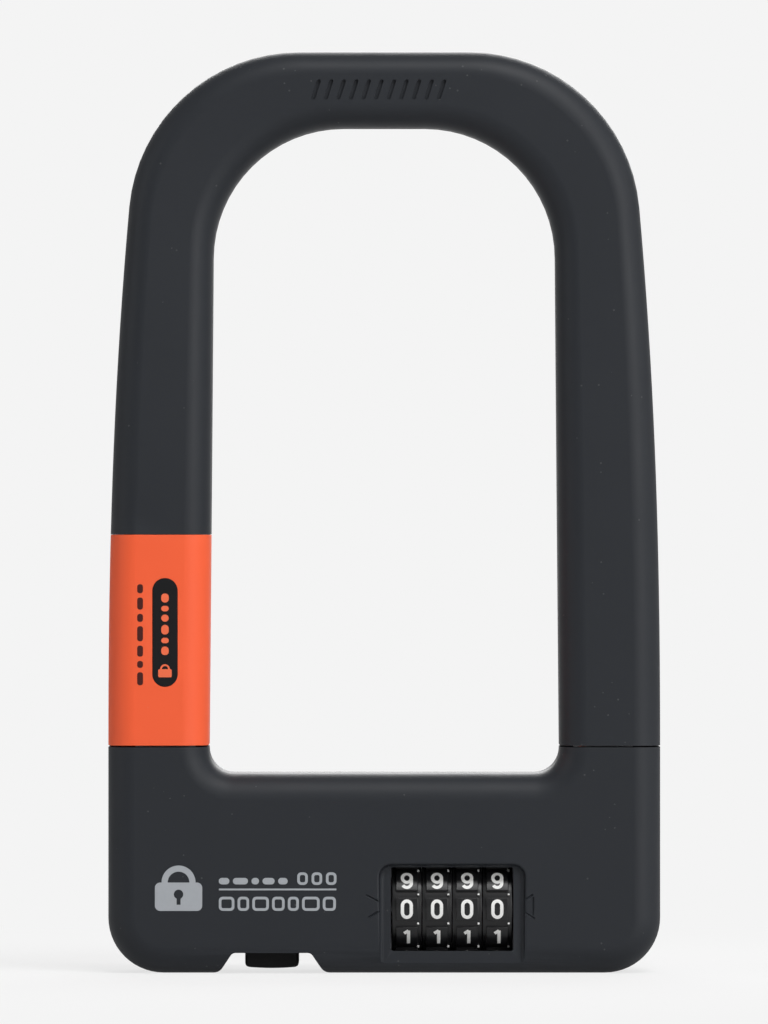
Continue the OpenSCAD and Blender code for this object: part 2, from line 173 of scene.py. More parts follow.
def sweepRings(name, rings):
    # a disc drawn out from ring to ring, closed at both ends
    deselectAll()
    bpy.ops.mesh.primitive_circle_add(vertices=len(rings[0]), fill_type="NGON")
    piece = named(name)
    bpy.ops.object.mode_set(mode="EDIT")
    bpy.ops.mesh.select_all(action="SELECT")
    shape = bmesh.from_edit_mesh(piece.data)
    order = shape.verts.layers.int.new("order")
    for i, vertex in enumerate(shape.verts):
        vertex[order] = i
    for k, ring in enumerate(rings):
        if k:
            bpy.ops.mesh.extrude_region_move()
            shape = bmesh.from_edit_mesh(piece.data)
            order = shape.verts.layers.int["order"]
        for vertex in shape.verts:
            if vertex.select:
                vertex.co = ring[vertex[order]]
        bmesh.update_edit_mesh(piece.data)
    bpy.ops.object.mode_set(mode="OBJECT")
    faceOutwards(piece)
    return piece


def barAlong(name, line, width, front, back, backShare=1.0):
    # a flat bar along points that stand in the XZ plane, narrower at the back if asked
    rings = []
    for i, point in enumerate(line):
        before = (point - line[max(i - 1, 0)]).normalized()
        after = (line[min(i + 1, len(line) - 1)] - point).normalized()
        way = (before + after).normalized()
        lean = max(way.dot(after if after.length else before), 0.5)
        side = Vector((-way.z, 0, way.x)) * width / 2 / lean
        near, far = Vector((0, front, 0)), Vector((0, back, 0))
        thin = side * backShare
        rings.append([point + side + near, point - side + near, point - thin + far, point + thin + far])
    return sweepRings(name, rings)


def softCorner(before, corner, after, reach, steps=6):
    # points that turn smoothly where two lines would meet in a corner
    before, corner, after = Vector(before), Vector(corner), Vector(after)
    start = corner + (before - corner).normalized() * reach
    end = corner + (after - corner).normalized() * reach
    shares = [i / steps for i in range(steps + 1)]
    return [start.lerp(corner, t).lerp(corner.lerp(end, t), t) for t in shares]


def joinAll(pieces, name):
    deselectAll()
    for piece in pieces:
        piece.select_set(True)
    bpy.context.view_layer.objects.active = pieces[0]
    if len(pieces) > 1:
        bpy.ops.object.join()
    return named(name)


def place(piece, body, slotName, material, replaced=()):
    piece.data.materials.clear()
    piece.data.materials.append(material)
    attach(piece, body)
    if replaced:
        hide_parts(*replaced)


def newGroup(name, inputs, outputs):
    group = bpy.data.node_groups.new(name, "ShaderNodeTree")
    for label, kind, value in inputs:
        socket = group.interface.new_socket(name=label, in_out="INPUT", socket_type=kind)
        socket.default_value = value
    for label, kind in outputs:
        group.interface.new_socket(name=label, in_out="OUTPUT", socket_type=kind)
    return group, group.nodes.new("NodeGroupInput"), group.nodes.new("NodeGroupOutput")


def mathNode(tree, operation, a, b=None, c=None):
    node = tree.nodes.new("ShaderNodeMath")
    node.operation = operation
    for socket, value in zip(node.inputs, (a, b, c)):
        if value is None:
            continue
        if isinstance(value, (int, float)):
            socket.default_value = value
        else:
            tree.links.new(value, socket)
    return node.outputs[0]


def mixColour(tree, factor, first, second, blend="MIX"):
    node = tree.nodes.new("ShaderNodeMix")
    node.data_type = "RGBA"
    node.blend_type = blend
    for socket, value in ((node.inputs[0], factor), (node.inputs[6], first), (node.inputs[7], second)):
        if isinstance(value, (int, float, tuple)):
            socket.default_value = value
        else:
            tree.links.new(value, socket)
    return node.outputs[2]


def noiseNode(tree, vector, scale, detail=3.0, roughness=0.5):
    node = tree.nodes.new("ShaderNodeTexNoise")
    node.inputs["Detail"].default_value = detail
    node.inputs["Roughness"].default_value = roughness
    tree.links.new(vector, node.inputs["Vector"])
    if isinstance(scale, (int, float)):
        node.inputs["Scale"].default_value = scale
    else:
        tree.links.new(scale, node.inputs["Scale"])
    return node.outputs["Fac"]


grainValues = {"fine": 9000.0, "medium": 1400.0, "mediumShare": 0.6, "mottleScale": 60.0, "mottle": 0.05}


def mouldedGrain():
    # fine grain and slow mottling of a moulded skin
    v = grainValues
    group, given, result = newGroup(
        "mouldedGrain",
        [("Fine Scale", "NodeSocketFloat", v["fine"]),
         ("Mottle Scale", "NodeSocketFloat", v["mottleScale"]), ("Mottle", "NodeSocketFloat", v["mottle"])],
        [("Height", "NodeSocketFloat"), ("Tone", "NodeSocketFloat"), ("Patch", "NodeSocketFloat")])
    where = group.nodes.new("ShaderNodeTexCoord").outputs["Object"]
    fine = noiseNode(group, where, given.outputs["Fine Scale"], 2.0, 0.6)
    medium = noiseNode(group, where, v["medium"], 2.0, 0.5)
    patch = noiseNode(group, where, given.outputs["Mottle Scale"], 4.0, 0.55)
    height = mathNode(group, "MULTIPLY_ADD", medium, v["mediumShare"], fine)
    centred = mathNode(group, "SUBTRACT", patch, 0.5)
    tone = mathNode(group, "MULTIPLY_ADD", centred, given.outputs["Mottle"], 1.0)
    group.links.new(height, result.inputs["Height"])
    group.links.new(tone, result.inputs["Tone"])
    group.links.new(patch, result.inputs["Patch"])
    return group


rubValues = {"flat": 0.52, "sharpness": 14.0, "breakup": 300.0}


def edgeRub():
    # mask of the corners that hands and bags rub
    v = rubValues
    group, given, result = newGroup(
        "edgeRub",
        [("Sharpness", "NodeSocketFloat", v["sharpness"]), ("Breakup", "NodeSocketFloat", v["breakup"])],
        [("Mask", "NodeSocketFloat")])
    where = group.nodes.new("ShaderNodeTexCoord").outputs["Object"]
    point = group.nodes.new("ShaderNodeNewGeometry").outputs["Pointiness"]
    lifted = mathNode(group, "SUBTRACT", point, v["flat"])
    edge = mathNode(group, "MULTIPLY", lifted, given.outputs["Sharpness"])
    patches = noiseNode(group, where, given.outputs["Breakup"], 4.0, 0.6)
    mask = mathNode(group, "MULTIPLY", edge, patches)
    clamp = group.nodes.new("ShaderNodeClamp")
    group.links.new(mask, clamp.inputs["Value"])
    group.links.new(clamp.outputs[0], result.inputs["Mask"])
    return group


lintValues = {"scale": 500.0, "amount": 0.03, "speckR": 0.09, "gapScale": 120.0, "gapShare": 0.56}


def lintDust():
    # sparse pale specks that cling to silicone
    v = lintValues
    group, given, result = newGroup(
        "lintDust",
        [("Scale", "NodeSocketFloat", v["scale"]), ("Amount", "NodeSocketFloat", v["amount"])],
        [("Mask", "NodeSocketFloat")])
    where = group.nodes.new("ShaderNodeTexCoord").outputs["Object"]
    specks = group.nodes.new("ShaderNodeTexVoronoi")
    specks.inputs["Randomness"].default_value = 1.0
    group.links.new(where, specks.inputs["Vector"])
    group.links.new(given.outputs["Scale"], specks.inputs["Scale"])
    near = mathNode(group, "LESS_THAN", specks.outputs["Distance"], v["speckR"])
    thin = noiseNode(group, where, v["gapScale"], 2.0)
    sparse = mathNode(group, "GREATER_THAN", thin, v["gapShare"])
    both = mathNode(group, "MULTIPLY", near, sparse)
    group.links.new(mathNode(group, "MULTIPLY", both, given.outputs["Amount"]), result.inputs["Mask"])
    return group


def drawnLines():
    # lines along an axis, as left by drawing, turning or brushing
    group, given, result = newGroup(
        "drawnLines",
        [("Along", "NodeSocketVector", (900.0, 900.0, 25.0)), ("Depth", "NodeSocketFloat", 1.0)],
        [("Height", "NodeSocketFloat"), ("Shade", "NodeSocketFloat")])
    where = group.nodes.new("ShaderNodeTexCoord").outputs["Object"]
    stretch = group.nodes.new("ShaderNodeVectorMath")
    stretch.operation = "MULTIPLY"
    group.links.new(where, stretch.inputs[0])
    group.links.new(given.outputs["Along"], stretch.inputs[1])
    lines = noiseNode(group, stretch.outputs[0], 4.0, 4.0, 0.65)
    group.links.new(mathNode(group, "MULTIPLY", lines, given.outputs["Depth"]), result.inputs["Height"])
    group.links.new(lines, result.inputs["Shade"])
    return group


grainGroup, rubGroup = mouldedGrain(), edgeRub()
lintGroup, linesGroup = lintDust(), drawnLines()


def srgb(red, green, blue):
    # a colour given in 0 to 255 steps, as the shader wants it
    def linear(v):
        v /= 255
        return v / 12.92 if v <= 0.04045 else ((v + 0.055) / 1.055) ** 2.4
    return (linear(red), linear(green), linear(blue), 1.0)


def startMaterial(name):
    material = bpy.data.materials.new(name)
    material.use_nodes = True
    tree = material.node_tree
    return material, tree, tree.nodes["Principled BSDF"]


def useGroup(tree, group, **values):
    node = tree.nodes.new("ShaderNodeGroup")
    node.node_tree = group
    for key, value in values.items():
        node.inputs[key.replace("_", " ")].default_value = value
    return node


def bumpInto(tree, shader, height, distance, strength=1.0):
    bump = tree.nodes.new("ShaderNodeBump")
    bump.inputs["Distance"].default_value = distance
    bump.inputs["Strength"].default_value = strength
    tree.links.new(height, bump.inputs["Height"])
    tree.links.new(bump.outputs["Normal"], shader.inputs["Normal"])


def varyRoughness(tree, shader, patches, values):
    # the roughness wanders about its middle value
    rough = mathNode(
        tree, "MULTIPLY_ADD", patches, values["spread"], values["roughness"] - values["spread"] / 2)
    tree.links.new(rough, shader.inputs["Roughness"])


def siliconeMaterial(name, colour, rubbed, values):
    material, tree, shader = startMaterial(name)
    grain = useGroup(tree, grainGroup, Fine_Scale=values["grainScale"], Mottle=values["mottle"])
    rub = useGroup(tree, rubGroup)
    lint = useGroup(tree, lintGroup, Amount=values["lint"])
    toned = mixColour(tree, 1.0, colour, grain.outputs["Tone"], "MULTIPLY")
    worn = mixColour(tree, mathNode(tree, "MULTIPLY", rub.outputs["Mask"], values["rub"]), toned, rubbed)
    dusty = mixColour(tree, lint.outputs["Mask"], worn, values["lintColour"])
    tree.links.new(dusty, shader.inputs["Base Color"])
    varyRoughness(tree, shader, grain.outputs["Patch"], values)
    bumpInto(tree, shader, grain.outputs["Height"], values["grainDepth"], values["bump"])
    shader.inputs["Specular IOR Level"].default_value = values["specular"]
    return material


def plasticMaterial(name, colour, values):
    material, tree, shader = startMaterial(name)
    grain = useGroup(tree, grainGroup, Fine_Scale=values["grainScale"], Mottle=values["mottle"])
    rub = useGroup(tree, rubGroup, Sharpness=values["sharpness"])
    toned = mixColour(tree, 1.0, colour, grain.outputs["Tone"], "MULTIPLY")
    worn = mixColour(tree, mathNode(tree, "MULTIPLY", rub.outputs["Mask"], values["rub"]), toned,
                     values["rubbed"])
    tree.links.new(worn, shader.inputs["Base Color"])
    varyRoughness(tree, shader, grain.outputs["Patch"], values)
    bumpInto(tree, shader, grain.outputs["Height"], values["grainDepth"], values["bump"])
    shader.inputs["Specular IOR Level"].default_value = values["specular"]
    return material


def inkMaterial(name, colour, roughness):
    # printed ink, slightly uneven where it sits on the grain
    values = dict(inkLook, roughness=roughness)
    material, tree, shader = startMaterial(name)
    grain = useGroup(tree, grainGroup, Fine_Scale=values["grainScale"],
                     Mottle_Scale=values["mottleScale"], Mottle=values["mottle"])
    toned = mixColour(tree, 1.0, colour, grain.outputs["Tone"], "MULTIPLY")
    tree.links.new(toned, shader.inputs["Base Color"])
    varyRoughness(tree, shader, grain.outputs["Patch"], values)
    bumpInto(tree, shader, grain.outputs["Height"], values["grainDepth"], values["bump"])
    shader.inputs["Specular IOR Level"].default_value = values["specular"]
    return material


def metalMaterial(name, colour, dark, values):
    material, tree, shader = startMaterial(name)
    lines = useGroup(tree, linesGroup, Along=values["along"])
    rub = useGroup(tree, rubGroup, Sharpness=values["sharpness"])
    shade = mathNode(tree, "MULTIPLY", lines.outputs["Shade"], values["shade"])
    shaded = mixColour(tree, shade, colour, dark)
    rubbed = mathNode(tree, "MULTIPLY", rub.outputs["Mask"], values["rub"])
    bright = mixColour(tree, rubbed, shaded, values["rubbed"])
    tree.links.new(bright, shader.inputs["Base Color"])
    varyRoughness(tree, shader, lines.outputs["Shade"], values)
    bumpInto(tree, shader, lines.outputs["Height"], values["lineDepth"], values["bump"])
    shader.inputs["Metallic"].default_value = values["metallic"]
    return material


skinLook = {
    "grainScale": 9000.0, "grainDepth": 0.00002, "bump": 0.35, "mottle": 0.08, "rub": 0.35, "lint": 0.07,
    "lintColour": srgb(200, 200, 198), "roughness": 0.54, "spread": 0.12, "specular": 0.3}
orangeLook = dict(skinLook, mottle=0.05, lint=0.05)
dialLook = {
    "grainScale": 12000.0, "grainDepth": 0.00001, "bump": 0.25, "mottle": 0.08, "roughness": 0.36,
    "spread": 0.1, "specular": 0.5, "sharpness": 10.0, "rub": 0.2, "rubbed": srgb(70, 70, 74)}
frameLook = dict(dialLook, roughness=0.6, specular=0.15, rub=0.05)
inkLook = {
    "grainScale": 14000.0, "grainDepth": 0.00001, "bump": 0.3, "mottleScale": 900.0, "mottle": 0.1,
    "spread": 0.1, "specular": 0.25}
steelLook = {
    "along": (900.0, 900.0, 25.0), "lineDepth": 0.00001, "bump": 0.4, "shade": 0.6, "roughness": 0.32,
    "spread": 0.2, "metallic": 1.0, "sharpness": 8.0, "rub": 0.5, "rubbed": srgb(235, 235, 232)}

charcoal = siliconeMaterial("charcoalSilicone", srgb(35, 38, 43), srgb(54, 57, 62), skinLook)
orange = siliconeMaterial("orangeSilicone", srgb(246, 97, 55), srgb(250, 124, 84), orangeLook)
dialBlack = plasticMaterial("dialBlack", srgb(20, 20, 22), dialLook)
# the window liner is black plastic, darkened further as painted shade so that its rim reads as a shadow gap
# round the dials
frameBlackPaintedShade = plasticMaterial("frameBlackPaintedShade", srgb(5, 5, 6), frameLook)
buttonBlack = plasticMaterial("buttonBlack", srgb(14, 14, 15),
                              dict(dialLook, roughness=0.5, specular=0.25))
bushGrey = plasticMaterial("bushGrey", srgb(58, 58, 60), frameLook)
# white for the printed digits, and also for the dial nibs, where the white is a painted glint
digitWhite = inkMaterial("digitWhite", srgb(238, 238, 236), 0.45)
silverInk = inkMaterial("silverInk", srgb(166, 170, 175), 0.4)
blackInk = inkMaterial("blackInk", srgb(10, 11, 14), 0.55)
orangeInk = inkMaterial("orangeInk", srgb(240, 112, 74), 0.5)
darkInk = inkMaterial("darkInk", srgb(70, 26, 22), 0.5)
drawnSteel = metalMaterial("drawnSteel", srgb(196, 198, 200), srgb(150, 152, 156), steelLook)
plateSteel = metalMaterial("plateSteel", srgb(182, 184, 188), srgb(138, 140, 146),
                           dict(steelLook, along=(25.0, 900.0, 900.0), roughness=0.4))
springSteel = metalMaterial("springSteel", srgb(160, 162, 168), srgb(120, 122, 130), steelLook)
castMetal = metalMaterial("castMetal", srgb(112, 114, 118), srgb(84, 86, 90),
                          dict(steelLook, along=(400.0, 400.0, 400.0), roughness=0.55,
                               lineDepth=0.00006, metallic=0.85))
sleeveBrass = metalMaterial("sleeveBrass", srgb(208, 172, 98), srgb(160, 124, 64),
                            dict(steelLook, along=(25.0, 900.0, 900.0), roughness=0.34))
print("materials ready")


view = {"distance": 2.2, "frameHeight": 0.2048, "middleX": -0.00005, "middleZ": 0.0918, "lampAimZ": 0.09}


def setCamera():
    data = bpy.data.cameras.new("frontCamera")
    data.lens = data.sensor_width * view["distance"] / view["frameHeight"]
    data.clip_end = 20
    camera = bpy.data.objects.new("frontCamera", data)
    bpy.context.scene.collection.objects.link(camera)
    camera.location = (view["middleX"], -view["distance"], view["middleZ"])
    camera.rotation_euler = (math.radians(90), 0, 0)
    bpy.context.scene.camera = camera


def addSoftbox(name, values):
    data = bpy.data.lights.new(name, "AREA")
    data.shape = "RECTANGLE"
    data.size, data.size_y = values["size"]
    data.energy = values["power"]
    lamp = bpy.data.objects.new(name, data)
    bpy.context.scene.collection.objects.link(lamp)
    lamp.location = values["at"]
    way = Vector((0, 0, view["lampAimZ"])) - Vector(values["at"])
    lamp.rotation_euler = way.to_track_quat("-Z", "Y").to_euler()


# a key high in front, a fill beside the camera and soft boxes at the sides and behind
lamps = {
    "keyBox": {"at": (0.5, -1.0, 1.9), "size": (1.1, 0.8), "power": 28},
    "frontFill": {"at": (1.7, -1.9, 0.7), "size": (1.2, 1.0), "power": 27},
    "leftBox": {"at": (-2.2, -0.7, 0.9), "size": (1.0, 1.4), "power": 8},
    "rightBox": {"at": (2.3, -0.3, 0.9), "size": (0.9, 1.4), "power": 8},
    "backBox": {"at": (0.2, 2.2, 1.1), "size": (1.8, 1.4), "power": 42}}
floorLook = {
    "size": 8, "gap": 0.02 * mm, "roughness": 0.9, "shadowFrom": 0.07, "shadowTo": 0.24, "evenNear": 0.8,
    "mirrored": 0.4, "seen": (0.9, 0.9, 0.9, 1), "bounce": (0.5, 0.5, 0.5, 1)}
roomLook = {"colour": (1, 1, 1, 1), "strength": 0.2, "wallFrom": 0.0, "wallTo": 0.7}


def showsBackground(tree):
    # 1 where the camera, a reflection or glass meets the surroundings
    path = tree.nodes.new("ShaderNodeLightPath")
    seen = mathNode(tree, "MAXIMUM", path.outputs["Is Camera Ray"], path.outputs["Is Transmission Ray"])
    return seen, path.outputs["Is Glossy Ray"]


def fadeNode(tree, value, start, end):
    # 0 before start, 1 after end, smooth between
    fade = tree.nodes.new("ShaderNodeMapRange")
    fade.interpolation_type = "SMOOTHSTEP"
    fade.inputs["From Min"].default_value = start
    fade.inputs["From Max"].default_value = end
    tree.links.new(value, fade.inputs["Value"])
    return fade.outputs["Result"]


def setWorld(paper):
    # the backdrop stands behind the lock, and the room in front of it is dim
    world = bpy.data.worlds.new("studio")
    bpy.context.scene.world = world
    world.use_nodes = True
    tree = world.node_tree
    tree.nodes.clear()
    soft, seen = tree.nodes.new("ShaderNodeBackground"), tree.nodes.new("ShaderNodeBackground")
    soft.inputs["Color"].default_value = roomLook["colour"]
    soft.inputs["Strength"].default_value = roomLook["strength"]
    seen.inputs["Color"].default_value = paper
    split = tree.nodes.new("ShaderNodeSeparateXYZ")
    tree.links.new(tree.nodes.new("ShaderNodeTexCoord").outputs["Generated"], split.inputs[0])
    camera, glossy = showsBackground(tree)
    wall = fadeNode(tree, split.outputs["Y"], roomLook["wallFrom"], roomLook["wallTo"])
    mirrored = mathNode(tree, "MULTIPLY", glossy, wall)
    mirrored = mathNode(tree, "MULTIPLY", mirrored, floorLook["mirrored"])
    mix, output = tree.nodes.new("ShaderNodeMixShader"), tree.nodes.new("ShaderNodeOutputWorld")
    tree.links.new(mathNode(tree, "MAXIMUM", camera, mirrored), mix.inputs[0])
    tree.links.new(soft.outputs[0], mix.inputs[1])
    tree.links.new(seen.outputs[0], mix.inputs[2])
    tree.links.new(mix.outputs[0], output.inputs[0])


def addFloor(paper):
    # near the lock the floor shows its shadow, farther off it is even paper
    deselectAll()
    bpy.ops.mesh.primitive_plane_add(size=floorLook["size"], location=(0, 0, -floorLook["gap"]))
    floor = named("floor")
    material, tree, shader = startMaterial("paperFloor")
    shader.inputs["Roughness"].default_value = floorLook["roughness"]
    shader.inputs["Specular IOR Level"].default_value = 0.0
    glow = tree.nodes.new("ShaderNodeEmission")
    glow.inputs["Color"].default_value = paper
    away = tree.nodes.new("ShaderNodeVectorMath")
    away.operation = "LENGTH"
    tree.links.new(tree.nodes.new("ShaderNodeTexCoord").outputs["Object"], away.inputs[0])
    far = fadeNode(tree, away.outputs["Value"], floorLook["shadowFrom"], floorLook["shadowTo"])
    camera, glossy = showsBackground(tree)
    colour = mixColour(tree, camera, floorLook["bounce"], floorLook["seen"])
    tree.links.new(colour, shader.inputs["Base Color"])
    glossy = mathNode(tree, "MULTIPLY", glossy, floorLook["mirrored"])
    even = mathNode(tree, "MULTIPLY_ADD", far, 1 - floorLook["evenNear"], floorLook["evenNear"])
    mix = tree.nodes.new("ShaderNodeMixShader")
    shown = mathNode(tree, "MAXIMUM", camera, glossy)
    tree.links.new(mathNode(tree, "MULTIPLY", shown, even), mix.inputs[0])
    tree.links.new(shader.outputs[0], mix.inputs[1])
    tree.links.new(glow.outputs[0], mix.inputs[2])
    tree.links.new(mix.outputs[0], tree.nodes["Material Output"].inputs[0])
    floor.data.materials.append(material)


paper = srgb(244, 244, 244)
bpy.context.scene.view_settings.view_transform = "Standard"
setCamera()
for name, lamp in lamps.items():
    addSoftbox(name, lamp)
setWorld(paper)
addFloor(paper)
print("camera, light and floor ready")


bodyLow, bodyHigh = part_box("body_cover")
coreLow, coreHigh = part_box("shackle_core")
coverLow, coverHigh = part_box("shackle_cover")
caseLow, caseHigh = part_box("case_front")
cageLow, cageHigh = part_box("dial_cage")
buttonLow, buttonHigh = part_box("push_button")
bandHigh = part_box("accent_sleeve")[1]
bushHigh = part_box("leg_bushes")[1]
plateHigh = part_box("back_plate")[1]

frontY, backY = bodyLow.y, bodyHigh.y
seamZ = bodyHigh.z
halfW = bodyHigh.x
topZ = coverHigh.z
barR = (coreHigh.y - coreLow.y) / 2
legX = coreHigh.x - barR
bushR = bushHigh.x - legX
dialBoxes = [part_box("dial_%d" % (i + 1)) for i in range(4)]
dialSpots = [(low + high) / 2 for low, high in dialBoxes]
dialR = (dialBoxes[0][1].z - dialBoxes[0][0].z) / 2
dialW = dialBoxes[0][1].x - dialBoxes[0][0].x


bodyShape = {
    "halfOpening": 35 * mm, "barH": 39.7 * mm, "cornerR": 11 * mm, "saddleR": 5 * mm, "rollR": 5.5 * mm,
    "skin": 1.8 * mm, "notchSkin": 1.2 * mm, "notchRoof": 4.1 * mm, "notchW": 21 * mm,
    "notchRoofW": 15.6 * mm, "notchRoofTurn": 0.7 * mm, "notchFootTurn": 1.3 * mm,
    "scoopDepth": 1.2 * mm, "scoopSide": 2.25 * mm, "scoopTop": 0.45 * mm, "scoopBelow": 5 * mm,
    "scoopR": 2.4 * mm, "scoopFloorR": 1 * mm, "scoopLipR": 0.55 * mm, "edge": 0.18 * mm, "fit": 0.05 * mm,
    "buttonLap": 0.5 * mm, "buttonHoleR": 1.6 * mm, "arrowLine": 0.46 * mm, "arrowDepth": 0.24 * mm,
    "arrows": [[(-3.6, 15.6), (0.7, 13.4), (-3.1, 11.2)],
               [(29.6, 15.7), (26.0, 13.4), (29.9, 10.9)], [(29.6, 15.2), (29.6, 11.6)]]}
windowShape = {
    "wall": 0.8 * mm, "lip": 0.5 * mm, "holeR": 0.5 * mm, "linerR": 0.85 * mm, "seatR": 0.9 * mm,
    "edge": 0.15 * mm}
buttonX = (buttonLow.x + buttonHigh.x) / 2


def notchCutter(grow):
    # the notch's outline from the front: a soft roof and feet that round into the underside
    s = bodyShape
    roof, foot = (s["notchRoofW"] / 2 + grow, s["notchRoof"] + grow), (s["notchW"] / 2 + grow, 0)
    half = softCorner((0, roof[1]), roof, foot, s["notchRoofTurn"])
    half += softCorner(roof, foot, (foot[0] * 2, 0), s["notchFootTurn"])
    half.append(Vector((half[-1].x, -mm)))
    outline = [(p.x, p.y) for p in half] + [(-p.x, p.y) for p in reversed(half)]
    faces = [[Vector((buttonX + x, y, z)) for x, z in outline] for y in (frontY * 2, backY * 2)]
    return sweepRings("notchCutter", faces)


def arrowGroove(points):
    # a fine V-shaped line engraved in the front, through points given in millimetres
    s = bodyShape
    line = [Vector((x * mm, 0, z * mm)) for x, z in points]
    depth = s["arrowDepth"]
    return barAlong("arrowGroove", line, 2 * s["arrowLine"], frontY - depth, frontY + depth, 0.05)


def makeBodySkin():
    s = bodyShape
    above = seamZ + 2 * s["rollR"]
    skin = addBlock("bodySkin", (-halfW, frontY, 0), (halfW, backY, above))
    bevelWhere(skin, s["cornerR"], 14, lambda mid, way: alongY(mid, way) and mid.z < mm)
    saddle = addBlock("saddleCutter", (-s["halfOpening"], frontY * 2, s["barH"]),
                      (s["halfOpening"], backY * 2, above * 2))
    bevelWhere(saddle, s["saddleR"], 10, lambda mid, way: alongY(mid, way) and mid.z < above)
    cut(skin, saddle)
    onFace = lambda mid: at(mid.y, frontY) or at(mid.y, backY)
    bevelWhere(skin, s["rollR"], 12,
               lambda mid, way: onFace(mid) and not at(mid.z, above) and not alongY(mid, way))
    sliceOff(skin, seamZ, True)

    # scoop round the dials, open below, with a soft floor and lip
    wall = windowShape["wall"]
    scoopLow = (cageLow.x + wall - s["scoopSide"], frontY * 2, -s["scoopBelow"])
    scoopHigh = (cageHigh.x - wall + s["scoopSide"], frontY + s["scoopDepth"],
                 cageHigh.z - wall + s["scoopTop"])
    scoop = addBlock("scoopCutter", scoopLow, scoopHigh)
    bevelWhere(scoop, s["scoopR"], 8, lambda mid, way: alongY(mid, way) and at(mid.z, scoopHigh[2]))
    bevelWhere(scoop, s["scoopFloorR"], 6, lambda mid, way: at(mid.y, scoopHigh[1]))
    cut(skin, scoop)
    inScoop = lambda mid: scoopLow[0] - mm < mid.x < scoopHigh[0] + mm and mid.z < scoopHigh[2] + mm
    bevelWhere(skin, s["scoopLipR"], 5, lambda mid, way: at(mid.y, frontY) and inScoop(mid))

    # room for the case, kept off the notch
    cavity = addBlock("cavityCutter", caseLow, (caseHigh.x, plateHigh.y, caseHigh.z))
    bevelWhere(cavity, s["cornerR"] - s["skin"], 8,
               lambda mid, way: alongY(mid, way) and mid.z < caseHigh.z / 2)
    bevelWhere(cavity, s["rollR"] - s["skin"], 5,
               lambda mid, way: at(mid.y, caseLow.y) or at(mid.y, plateHigh.y))
    cut(cavity, notchCutter(s["notchSkin"]))
    cut(skin, cavity)
    cut(skin, notchCutter(0))
    lap = s["buttonLap"]
    hole = addBlock("buttonHole", (buttonLow.x + lap, buttonLow.y + lap, 0),
                    (buttonHigh.x - lap, buttonHigh.y - lap, buttonHigh.z))
    bevelWhere(hole, s["buttonHoleR"], 6, alongZ)
    cut(skin, hole)

    # the window is smaller in front, where the skin's lip hides the liner's rim
    w = windowShape
    lipY = frontY + s["scoopDepth"] + w["lip"]
    seat = addBlock("linerSeat", (cageLow.x - s["fit"], lipY, cageLow.z - s["fit"]),
                    (cageHigh.x + s["fit"], cageHigh.y, cageHigh.z + s["fit"]))
    bevelWhere(seat, w["seatR"], 5, alongY)
    cut(skin, seat)
    window = addBlock("windowCutter", (cageLow.x + w["wall"], frontY * 2, cageLow.z + w["wall"]),
                      (cageHigh.x - w["wall"], lipY + mm, cageHigh.z - w["wall"]))
    bevelWhere(window, w["holeR"], 5, alongY)
    cut(skin, window)
    for side in (-1, 1):
        cut(skin, addRod("legHole", bushR + s["fit"], (side * legX, 0, caseHigh.z - mm),
                         (side * legX, 0, seamZ + mm), 72))
    softenEdges(skin, s["edge"], 3, 40)
    for points in s["arrows"]:
        cut(skin, arrowGroove(points))
    finishShading(skin, 40)
    place(skin, "housing", "charcoal_silicone", charcoal, ["body_cover"])
    print("body skin", len(skin.data.polygons), "faces")


makeBodySkin()


bowShape = {
    "halfOpening": 35 * mm, "lean": 0.85 * mm, "bow": 4.1 * mm, "bowPower": 2.3, "topW": 15.1 * mm,
    "innerR": 26 * mm, "outerR": 34 * mm, "topDepth": 18 * mm, "rollR": 5.5 * mm, "fit": 0.05 * mm,
    "legSteps": 18, "cornerSteps": 16, "rollSteps": 8, "barSteps": 16, "barSides": 48, "edge": 0.16 * mm}
markShape = {
    "count": 11, "pitch": 2.5 * mm, "halfW": 0.42 * mm, "halfH": 2.0 * mm, "endR": 0.399 * mm,
    "middleX": -1.1 * mm, "drop": 0.1 * mm, "slant": 0.32, "floorY": -8.55 * mm}


def bowSides():
    # inner and outer outline points of the right half, from the foot to the top
    s = bowShape
    foot = coverLow.z
    topIn = topZ - s["topW"]
    lean = math.atan(s["bowPower"] * s["bow"] / (topZ - s["outerR"] - foot))
    inZ = topIn - s["innerR"]
    outZ = topZ - s["outerR"] * (1 - math.sin(lean))
    pairs = []
    for i in range(s["legSteps"] + 1):
        t = i / s["legSteps"]
        pairs.append(((s["halfOpening"] - s["lean"] * t, foot + (inZ - foot) * t),
                      (halfW - s["bow"] * t ** s["bowPower"], foot + (outZ - foot) * t)))
    for i in range(1, s["cornerSteps"] + 1):
        a = math.pi / 2 * i / s["cornerSteps"]
        b = lean + (math.pi / 2 - lean) * i / s["cornerSteps"]
        pairs.append(((s["halfOpening"] - s["lean"] - s["innerR"] * (1 - math.cos(a)),
                       topIn - s["innerR"] * (1 - math.sin(a))),
                      (halfW - s["bow"] - s["outerR"] * (math.cos(lean) - math.cos(b)),
                       topZ - s["outerR"] * (1 - math.sin(b)))))
    return pairs


def coverDepth(height):
    s = max(0.0, (height - bandHigh.z) / (topZ - bandHigh.z))
    full = backY - frontY
    return full - (full - bowShape["topDepth"]) * s * s * (3 - 2 * s)


def roundSection(halfWide, halfDeep, r, steps):
    points = []
    for quarter, (cx, cy) in enumerate(((1, 1), (-1, 1), (-1, -1), (1, -1))):
        for i in range(steps + 1):
            a = math.pi / 2 * (quarter + i / steps)
            points.append((cx * (halfWide - r) + r * math.cos(a), cy * (halfDeep - r) + r * math.sin(a)))
    return points


